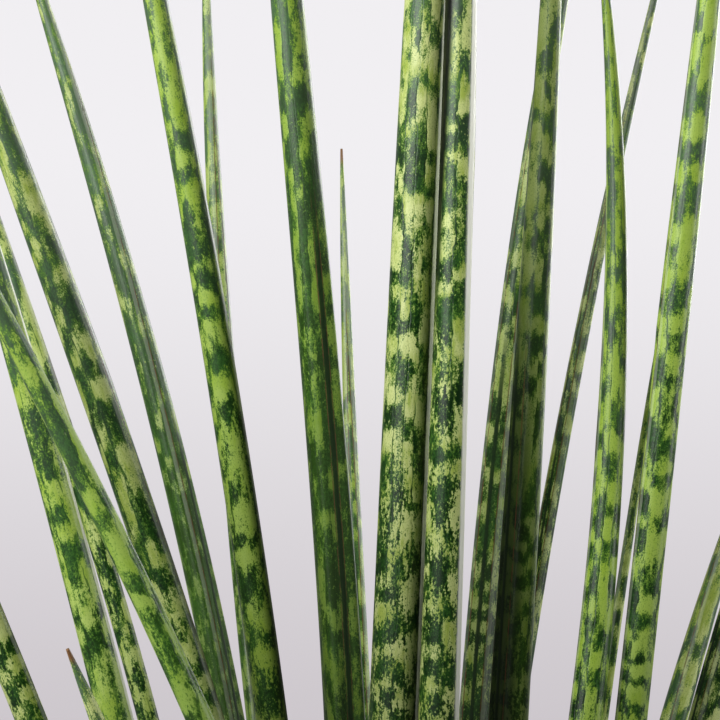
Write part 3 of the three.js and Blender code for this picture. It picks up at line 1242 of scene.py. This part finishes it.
@dataclass(frozen=True)
class SoilFinish:
    """The finish of moist potting soil, and of what lies on it: its colour, damp patches and fibres.

    Scales count what repeats in a metre, and the depth of the relief is in millimetres.
    """

    peat: str = "3D2E22"
    damp: str = "1E1611"
    fibre: str = "6A5138"
    roughness: float = 0.94
    grain_scale: float = 900.0
    patch_scale: float = 160.0
    relief_depth: float = 1.2

    def material(self, name: str) -> bpy.types.Material:
        """Makes the material, whose grain follows the object's own place.

        Args:
            name: The material's name.

        Returns:
            The material.
        """
        sheet = SurfaceSheet(name)
        place = sheet.read("ShaderNodeTexCoord", "Object")
        grain = sheet.placed(Surfaces.grain(), Place=place, Scale=self.grain_scale, Coarse=1.2)
        patch = sheet.ramp(sheet.noise(place, self.patch_scale, 2.0), 0.38, 0.62)
        colour = sheet.mixed(patch, linear(self.damp), linear(self.peat))
        colour = sheet.tinted(colour, grain["Speckle"] * 0.5, self.fibre)
        sheet.finish({"Base Color": colour, "Roughness": self.roughness})
        sheet.emboss(grain["Relief"], self.relief_depth)
        return sheet.material


@dataclass(frozen=True)
class StonewareFinish:
    """Matt off-white stoneware with faint speckles and turning lines.

    Scales count what repeats in a metre, and the depth of the relief is in millimetres.
    """

    body: str = "E0DCD3"
    shade: str = "D2CCC1"
    speck: str = "8C7F70"
    roughness: float = 0.58
    grain_scale: float = 1400.0
    speck_scale: float = 260.0
    ring_scale: Triple = (6.0, 6.0, 420.0)
    relief_depth: float = 0.3
    relief_strength: float = 0.5

    def material(self) -> bpy.types.Material:
        """Makes the material, whose turning lines run round the pot's axis.

        Returns:
            The material.
        """
        sheet = SurfaceSheet("stoneware")
        place = sheet.read("ShaderNodeTexCoord", "Object")
        grain = sheet.placed(Surfaces.grain(), Place=place, Scale=self.grain_scale, Coarse=0.8)
        specks = sheet.spots(place, self.speck_scale, edge=(0.17, 0.11), rarity=(0.62, 0.68))
        rings = sheet.noise(sheet.vector("MULTIPLY", place, self.ring_scale), 1.0, 2.0)
        colour = sheet.mixed(sheet.ramp(rings, 0.35, 0.7), linear(self.body), linear(self.shade))
        colour = sheet.tinted(colour, specks * 0.7, self.speck)
        sheet.finish({"Base Color": colour, "Roughness": self.roughness + grain["Speckle"] * 0.12})
        sheet.emboss(rings * 0.4 + grain["Relief"] * 0.25, self.relief_depth, self.relief_strength)
        return sheet.material


@dataclass
class Pot:
    """A plain round tapered pot with a rounded lip and drain holes, in millimetres and degrees."""

    height: float = 140.0
    foot_radius: float = 58.0
    mouth_radius: float = 82.0
    wall: float = 5.0
    floor: float = 7.0
    lip_radius: float = 3.2
    lip_span: Pair = (-40.0, 220.0)
    foot_rounding: float = 3.0
    foot_span: Pair = (-90.0, 0.0)
    sides: int = 160
    arc_steps: int = 9
    wall_rows: int = 14
    drain_holes: int = 4
    drain_radius: float = 5.0
    drain_ring: float = 34.0
    drain_sides: int = 32
    drain_turn: float = 0.4
    merge_distance: float = 0.005
    finish: StonewareFinish = field(default_factory=StonewareFinish)

    def outer_at(self, z: float) -> float:
        """Gives the outside radius of the wall at a height."""
        return self.foot_radius + (self.mouth_radius - self.foot_radius) / self.height * z

    def profile(self) -> list[Pair]:
        """Draws the pot's half section, from the middle of its underside to that of its floor.

        Returns:
            Radius and height of each point.
        """
        foot = self.arc(
            (self.foot_radius - self.foot_rounding, self.foot_rounding), self.foot_rounding, self.foot_span)
        lip_z = self.height - self.lip_radius
        lip = self.arc((self.outer_at(lip_z) - self.wall / 2, lip_z), self.lip_radius, self.lip_span)
        floor_edge = (self.outer_at(self.floor) - self.wall, self.floor)
        outside = self.rows(foot[-1], lip[0])
        inside = self.rows(lip[-1], floor_edge)
        return [(0, 0), *foot, *outside, *lip, *inside, floor_edge, (0, self.floor)]

    def arc(self, centre: Pair, radius: float, span: Pair) -> list[Pair]:
        """Lists the points of an arc of the half section.

        Args:
            centre: Radius and height of its centre.
            radius: Its own radius.
            span: The directions of its ends from its centre, 0 being straight out.

        Returns:
            Radius and height of each point.
        """
        turns = [math.radians(between(*span, step / self.arc_steps)) for step in range(self.arc_steps + 1)]
        return [(centre[0] + radius * math.cos(t), centre[1] + radius * math.sin(t)) for t in turns]

    def rows(self, start: Pair, end: Pair) -> list[Pair]:
        """Lists the points between the two ends of a straight wall."""
        shares = [row / self.wall_rows for row in range(1, self.wall_rows)]
        return [(between(start[0], end[0], s), between(start[1], end[1], s)) for s in shares]

    def build(self, home: bpy.types.Collection) -> bpy.types.Object:
        """Turns the pot, drills its drain holes and dresses it.

        Args:
            home: The collection that holds the pot.

        Returns:
            The finished pot.
        """
        shape = bmesh.new()
        points = [shape.verts.new((r * MM, 0, z * MM)) for r, z in self.profile()]
        edges = [shape.edges.new(pair) for pair in zip(points, points[1:])]
        bmesh.ops.spin(shape, geom=points + edges, cent=(0, 0, 0), axis=(0, 0, 1), angle=math.tau,
                       steps=self.sides, use_merge=True)
        bmesh.ops.remove_doubles(shape, verts=shape.verts[:], dist=self.merge_distance * MM)
        bmesh.ops.recalc_face_normals(shape, faces=shape.faces[:])
        pot = linked(home, "pot_body", mesh_of(shape, "pot_body"))
        self.drill(pot)
        mesh = pot.data
        mesh.shade_smooth()
        mesh.materials.clear()
        mesh.materials.append(self.finish.material())
        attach(pot, BODY)
        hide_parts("pot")
        return pot

    def drill(self, pot: bpy.types.Object) -> None:
        """Cuts the drain holes through the pot's floor.

        The drills are turned by part of a side, so that none of their corners lies on an edge of the
        floor, which would leave slivers.

        Args:
            pot: The undrilled pot.
        """
        drills = bmesh.new()
        turn = Matrix.Rotation(self.drain_turn * math.tau / self.drain_sides, 4, "Z")
        for hole in range(self.drain_holes):
            angle = (hole + 0.5) / self.drain_holes * math.tau
            middle = Vector((math.cos(angle), math.sin(angle), 0)) * self.drain_ring * MM
            bmesh.ops.create_cone(
                drills, cap_ends=True, segments=self.drain_sides, radius1=self.drain_radius * MM,
                radius2=self.drain_radius * MM, depth=3 * self.floor * MM,
                matrix=Matrix.Translation(middle) @ turn,
            )
        tool = linked(bpy.context.scene.collection, "drills", mesh_of(drills, "drills"))
        cut = pot.modifiers.new("drain_holes", "BOOLEAN")
        cut.operation = "DIFFERENCE"
        cut.object = tool
        pot.data = worked_out(pot)
        pot.modifiers.remove(cut)
        bpy.data.objects.remove(tool)


@dataclass(frozen=True)
class Grains:
    """One sort of loose grain that lies on the soil, in millimetres.

    Attributes:
        name: The name of the piece and of its material.
        finish: Its colours.
        spacing: How close two grains may lie.
        sizes: The half length of the smallest and of the largest grain.
        shape: The shares of that half length across, along and upright.
        facets: How finely a grain is faceted.
        seed: The seed of where they lie and how they are turned.
    """

    name: str
    finish: SoilFinish
    spacing: float
    sizes: Pair
    shape: Triple
    facets: int
    seed: int

    def values(self, leaves: bpy.types.Collection) -> dict[str, object]:
        """Lists what the geometry tree needs to strew these grains.

        Args:
            leaves: The leaves, which the grains stay clear of.

        Returns:
            The tree's inputs by name.
        """
        smallest, largest = self.sizes
        return {
            "Spacing": self.spacing * MM, "Smallest": smallest * MM, "Largest": largest * MM,
            "Shape": self.shape, "Facets": self.facets, "Seed": self.seed, "Leaves": leaves,
            "Finish": self.finish.material(self.name),
        }


@dataclass
class Soil:
    """The potting soil, with crumbs, lumps, bark and perlite strewn over its top, in millimetres.

    Attributes:
        top: The height of its flat middle.
        dish: How far its outer edge lies below that.
        shoulder: The width of the slope down to that edge.
        radius: Its own radius.
        reach: The radius of the round that grains are strewn over.
        clearance: The room between a grain and a leaf.
        density: The most places tried in a square metre.
        small_bias: The power that makes small grains commoner than large ones.
        lift: How high a grain's middle lies over the soil, as a share of its half thickness.
        slimmest: The least width of a grain, as a share of its own size.
        slimness_spread: How much wider than that it may be.
        tilt: The range of its tilt, in radians.
        spin_turns: Whole turns of spin, so many that the spin looks unrelated to the size.
        dent_scale: How many dents there are in a metre.
        dent_share: How deep they are, as a share of the largest size.
        finish: The soil's own finish.
        strewn: The sorts of grain.
    """

    top: float = 128.0
    dish: float = 2.5
    shoulder: float = 7.5
    radius: float = 74.2
    reach: float = 72.6
    clearance: float = 0.4
    density: float = 900000.0
    small_bias: float = 2.0
    lift: float = 0.35
    slimmest: float = 0.75
    slimness_spread: float = 0.5
    tilt: float = 0.9
    spin_turns: float = 977.0
    dent_scale: float = 700.0
    dent_share: float = 0.7
    finish: SoilFinish = field(default_factory=SoilFinish)
    strewn: tuple[Grains, ...] = (
        Grains("soil_crumbs", SoilFinish(), 1.75, (0.45, 1.1), (1.0, 0.85, 0.7), 1, 11),
        Grains("soil_lumps", SoilFinish(), 3.9, (1.1, 2.4), (1.0, 0.8, 0.62), 2, 12),
        Grains("bark_chips", SoilFinish("5B4029", "3A281A", "8B6A47", 0.86),
               10.0, (2.2, 4.6), (1.0, 0.5, 0.2), 2, 13),
        Grains("perlite_bits", SoilFinish("E6E3DA", "CBC6BB", "F6F4EE", 0.8),
               6.6, (0.8, 2.1), (1.0, 0.85, 0.75), 2, 14),
    )

    def build(
        self, home: bpy.types.Collection, leaves: bpy.types.Collection
    ) -> Iterator[bpy.types.Object]:
        """Dresses the soil's own node and strews its grains.

        Args:
            home: The collection that holds the grains.
            leaves: The collection of leaves, which the grains stay clear of.

        Yields:
            The soil, then each sort of grain.
        """
        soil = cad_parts["soil"]
        soil.data.materials.clear()
        soil.data.materials.append(self.finish.material("soil"))
        yield soil
        tree = self.tree()
        for grains in self.strewn:
            piece = grown(grains.name, tree, grains.values(leaves), home)
            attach(piece, BODY)
            yield piece

    def scattered(self, sheet: GroupSheet, size: Term) -> Term:
        """Scatters the grains' places over the soil's top, clear of the leaves.

        Args:
            sheet: The sheet of the grains' tree.
            size: Each grain's half length, in metres.

        Returns:
            The places as points.
        """
        disc = sheet.node("GeometryNodeMeshCircle", {"Radius": self.reach * MM}, fill_type="TRIANGLE_FAN")
        fed = {"Mesh": sheet.out(disc, "Mesh"), "Distance Min": sheet.given("Spacing"),
               "Density Max": self.density, "Seed": sheet.given("Seed")}
        points = sheet.out(sheet.node(
            "GeometryNodeDistributePointsOnFaces", fed, distribute_method="POISSON"), "Points")

        x, y, _ = sheet.parts(sheet.step("GeometryNodeInputPosition"))
        out = (x * x + y * y) ** 0.5 / MM
        fall = sheet.number("MAXIMUM", (out - (self.radius - self.shoulder)) / self.shoulder, 0.0)
        raised = size * sheet.parts(sheet.given("Shape"))[2] * self.lift
        place = sheet.joined(x, y, (self.top - fall * self.dish) * MM + raised)
        points = sheet.step("GeometryNodeSetPosition", points, Position=place)

        around = sheet.node("GeometryNodeCollectionInfo", {"Collection": sheet.given("Leaves")})
        stems = sheet.step("GeometryNodeRealizeInstances", sheet.out(around, "Instances"))
        gap = sheet.out(sheet.node("GeometryNodeProximity", {0: stems}, target_element="FACES"), "Distance")
        tight = sheet.number("LESS_THAN", gap, size + self.clearance * MM)
        return sheet.step("GeometryNodeDeleteGeometry", points, Selection=tight)

    def tree(self) -> bpy.types.NodeTree:
        """Builds the geometry tree that strews one sort of grain.

        Returns:
            The tree, with the sizes, the seed, the leaves and the finish as named inputs.
        """
        sheet = GroupSheet(
            "strewn_grains", "GeometryNodeTree",
            {**sockets(Kind.NUMBER, "Spacing", "Smallest", "Largest"), "Shape": Kind.VECTOR,
             **sockets(Kind.WHOLE, "Facets", "Seed"), "Leaves": Kind.GROUP, "Finish": Kind.MATERIAL},
            {"Grains": Kind.MESH},
        )
        x, y, _ = sheet.parts(sheet.step("GeometryNodeInputPosition"))
        drawn = sheet.lots(sheet.joined(x / MM, y / MM, sheet.given("Seed")))
        span = sheet.given("Largest") - sheet.given("Smallest")
        size = sheet.given("Smallest") + span * drawn[0] ** self.small_bias
        points = self.scattered(sheet, size)

        widths = [size * (self.slimmest + lot * self.slimness_spread) for lot in drawn[1:]]
        girth = sheet.vector("MULTIPLY", sheet.joined(widths[0], size, widths[1]), sheet.given("Shape"))
        tilts = [(lot - 0.5) * self.tilt for lot in drawn[1:]]
        turned = sheet.joined(*tilts, drawn[0] * (self.spin_turns * math.tau))
        ball = sheet.step("GeometryNodeMeshIcoSphere", Subdivisions=sheet.given("Facets"))
        mesh = sheet.step(
            "GeometryNodeInstanceOnPoints", points, Instance=ball, Rotation=turned, Scale=girth)
        mesh = sheet.step("GeometryNodeRealizeInstances", mesh)
        rough = sheet.node("ShaderNodeTexNoise", {"Scale": self.dent_scale})
        dent = sheet.vector("SUBTRACT", sheet.out(rough, "Color"), (0.5, 0.5, 0.5))
        dent = sheet.scaled(dent, sheet.given("Largest") * self.dent_share)
        mesh = sheet.step("GeometryNodeSetPosition", mesh, Offset=dent)
        sheet.give(Grains=sheet.step("GeometryNodeSetMaterial", mesh, Material=sheet.given("Finish")))
        return sheet.tree


@dataclass(frozen=True)
class Lamp:
    """A soft rectangular lamp: where it hangs and its width and height, in metres, and its watts."""

    name: str
    place: Triple
    size: Pair
    power: float

    def hang(self, target: Triple) -> None:
        """Hangs the lamp so that it shines at a target.

        Args:
            target: The point that it shines at, in metres.
        """
        data = bpy.data.lights.new(self.name, "AREA")
        data.shape = "RECTANGLE"
        data.size, data.size_y = self.size
        data.energy = self.power
        lamp = linked(bpy.context.scene.collection, self.name, data)
        lamp.location = self.place
        lamp.visible_camera = False
        lamp.rotation_euler = (Vector(target) - Vector(self.place)).to_track_quat("-Z", "Y").to_euler()


@dataclass
class Studio:
    """The pale surroundings, the lamps and the camera, in metres.

    What the camera sees of the surroundings is painted apart from the light that they throw on the
    plant. The backdrop's spans are heights of the direction, the span of the back light is its depth,
    and the floor fades out over a span of the distance from the plant.
    """

    camera_place: Triple = (-0.018, -0.72, 0.4)
    focus_distance: float = 0.7
    view_width: float = 0.216
    sensor: float = 36.0
    clip: Pair = (0.01, 50.0)
    backdrop_high: str = "F1EFF2"
    backdrop_low: str = "CAC4C9"
    backdrop_floor: str = "E4E1E5"
    backdrop_climb: Pair = (-0.2, 0.1)
    backdrop_drop: Pair = (-0.2, -0.45)
    front_light: Colour = (0.02, 0.02, 0.023, 1.0)
    back_light: Colour = (0.32, 0.32, 0.33, 1.0)
    back_span: Pair = (0.1, 0.85)
    floor_radius: float = 3.0
    floor_sides: int = 96
    floor_fade: Pair = (1.5, 0.35)
    floor_thrown: Colour = (0.24, 0.24, 0.24, 1.0)
    floor_seen: Colour = (0.62, 0.61, 0.62, 1.0)
    floor_roughness: float = 0.9
    lamps_aim: Triple = (0.0, 0.0, 0.38)
    lamps: tuple[Lamp, ...] = (
        Lamp("key", (-0.9, -0.86, 1.0), (1.1, 1.2), 33.0),
        Lamp("back", (1.05, 1.3, 1.0), (1.0, 1.4), 30.0),
        Lamp("side", (1.3, 0.0, 0.7), (0.5, 1.2), 12.0),
    )

    def build(self) -> None:
        """Sets up the camera, the world, the floor and the lamps."""
        self.camera()
        self.world()
        self.floor()
        for lamp in self.lamps:
            lamp.hang(self.lamps_aim)
        bpy.context.scene.view_settings.view_transform = "Standard"

    def camera(self) -> None:
        """Points the camera straight along +Y, at the height of the leaves' middle."""
        data = bpy.data.cameras.new("camera")
        data.sensor_width = self.sensor
        data.lens = self.sensor * self.focus_distance / self.view_width
        data.clip_start, data.clip_end = self.clip
        camera = linked(bpy.context.scene.collection, "camera", data)
        camera.location = self.camera_place
        camera.rotation_euler = (math.pi / 2, 0, 0)
        bpy.context.scene.camera = camera

    def world(self) -> None:
        """Paints the backdrop that the camera sees, and the softer light that it throws."""
        world = bpy.data.worlds.new("studio")
        bpy.context.scene.world = world
        world.use_nodes = True
        sheet = Sheet(world.node_tree)
        _, depth, rise = sheet.parts(sheet.read("ShaderNodeTexCoord", "Generated"))
        climb = sheet.ramp(rise, *self.backdrop_climb)
        seen = sheet.mixed(climb, linear(self.backdrop_low), linear(self.backdrop_high))
        seen = sheet.tinted(seen, sheet.ramp(rise, *self.backdrop_drop), self.backdrop_floor)
        thrown = sheet.mixed(sheet.ramp(depth, *self.back_span), self.front_light, self.back_light)
        watched = sheet.read("ShaderNodeLightPath", "Is Camera Ray")
        ground = world.node_tree.nodes["Background"]
        sheet.feed(ground.inputs["Color"], sheet.mixed(watched, thrown, seen))

    def floor(self) -> None:
        """Lays a round floor that fades into the backdrop."""
        shape = bmesh.new()
        bmesh.ops.create_circle(shape, cap_ends=True, segments=self.floor_sides, radius=self.floor_radius)
        floor = linked(bpy.context.scene.collection, "studio_floor", mesh_of(shape, "studio_floor"))
        sheet = SurfaceSheet("studio_floor")
        distance = sheet.vector("LENGTH", sheet.read("ShaderNodeTexCoord", "Object"))
        watched = sheet.read("ShaderNodeLightPath", "Is Camera Ray")
        sheet.finish({
            "Base Color": sheet.mixed(watched, self.floor_thrown, self.floor_seen),
            "Roughness": self.floor_roughness,
            "Alpha": sheet.ramp(distance, *self.floor_fade),
        })
        floor.data.materials.append(sheet.material)


def main() -> None:
    """Builds the studio and the plant, piece by piece."""
    logging.basicConfig(level=logging.INFO, format="%(name)s: %(message)s")
    Studio().build()
    home, leaves = bpy.data.collections.new("plant"), bpy.data.collections.new("leaves")
    for collection in (home, leaves):
        bpy.context.scene.collection.children.link(collection)
    for leaf in Foliage().build(leaves):
        report(leaf)
    for piece in Soil().build(home, leaves):
        report(piece)
    report(Pot().build(home))


if __name__ == "__main__":
    main()
